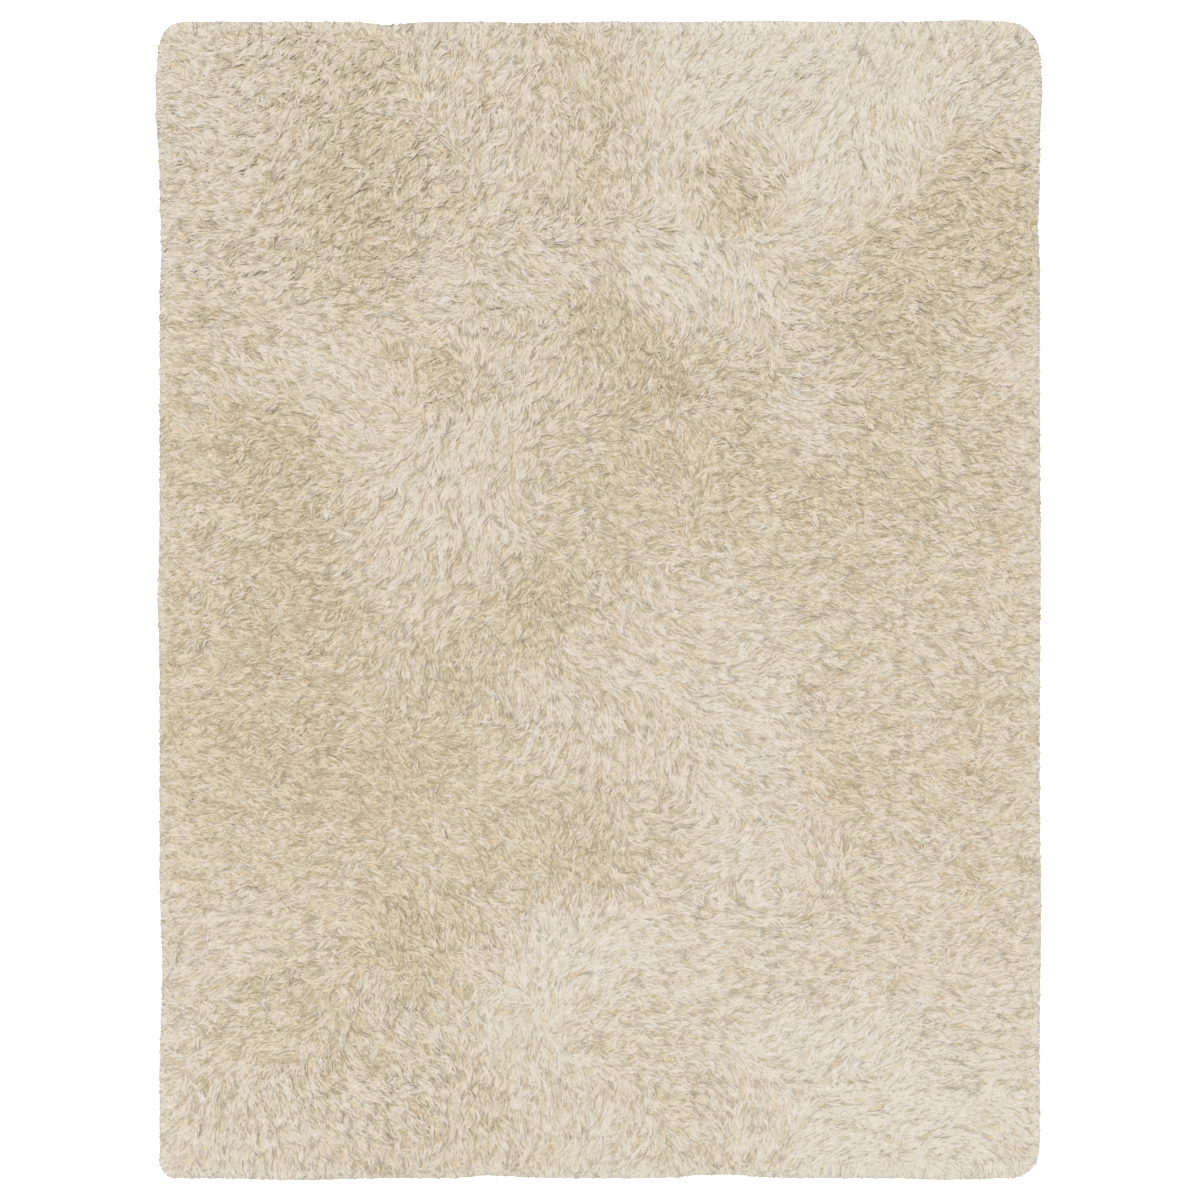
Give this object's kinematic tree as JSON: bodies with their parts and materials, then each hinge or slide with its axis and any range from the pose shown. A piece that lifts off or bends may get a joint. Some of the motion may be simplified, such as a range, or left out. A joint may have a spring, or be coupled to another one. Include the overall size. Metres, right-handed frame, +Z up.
{
  "type": "shag rug",
  "caption": "Rectangular wool shag rug lying flat, with long cream pile that leans over its edges and rounded, slightly uneven corners.",
  "frame": {"origin": "middle of the flat underside, where the rug lies on the floor", "axes": "+Z up out of the pile, +Y along the rug's length, +X across its width"},
  "size_m": [2.4574, 3.2106, 0.046],
  "materials": {
    "pile_wool": "matte cream wool pile",
    "ground_weave": "matte plain-woven wool ground"
  },
  "bodies": {
    "root": {"shag_rug": "pile_wool"}
  },
  "joints": []
}
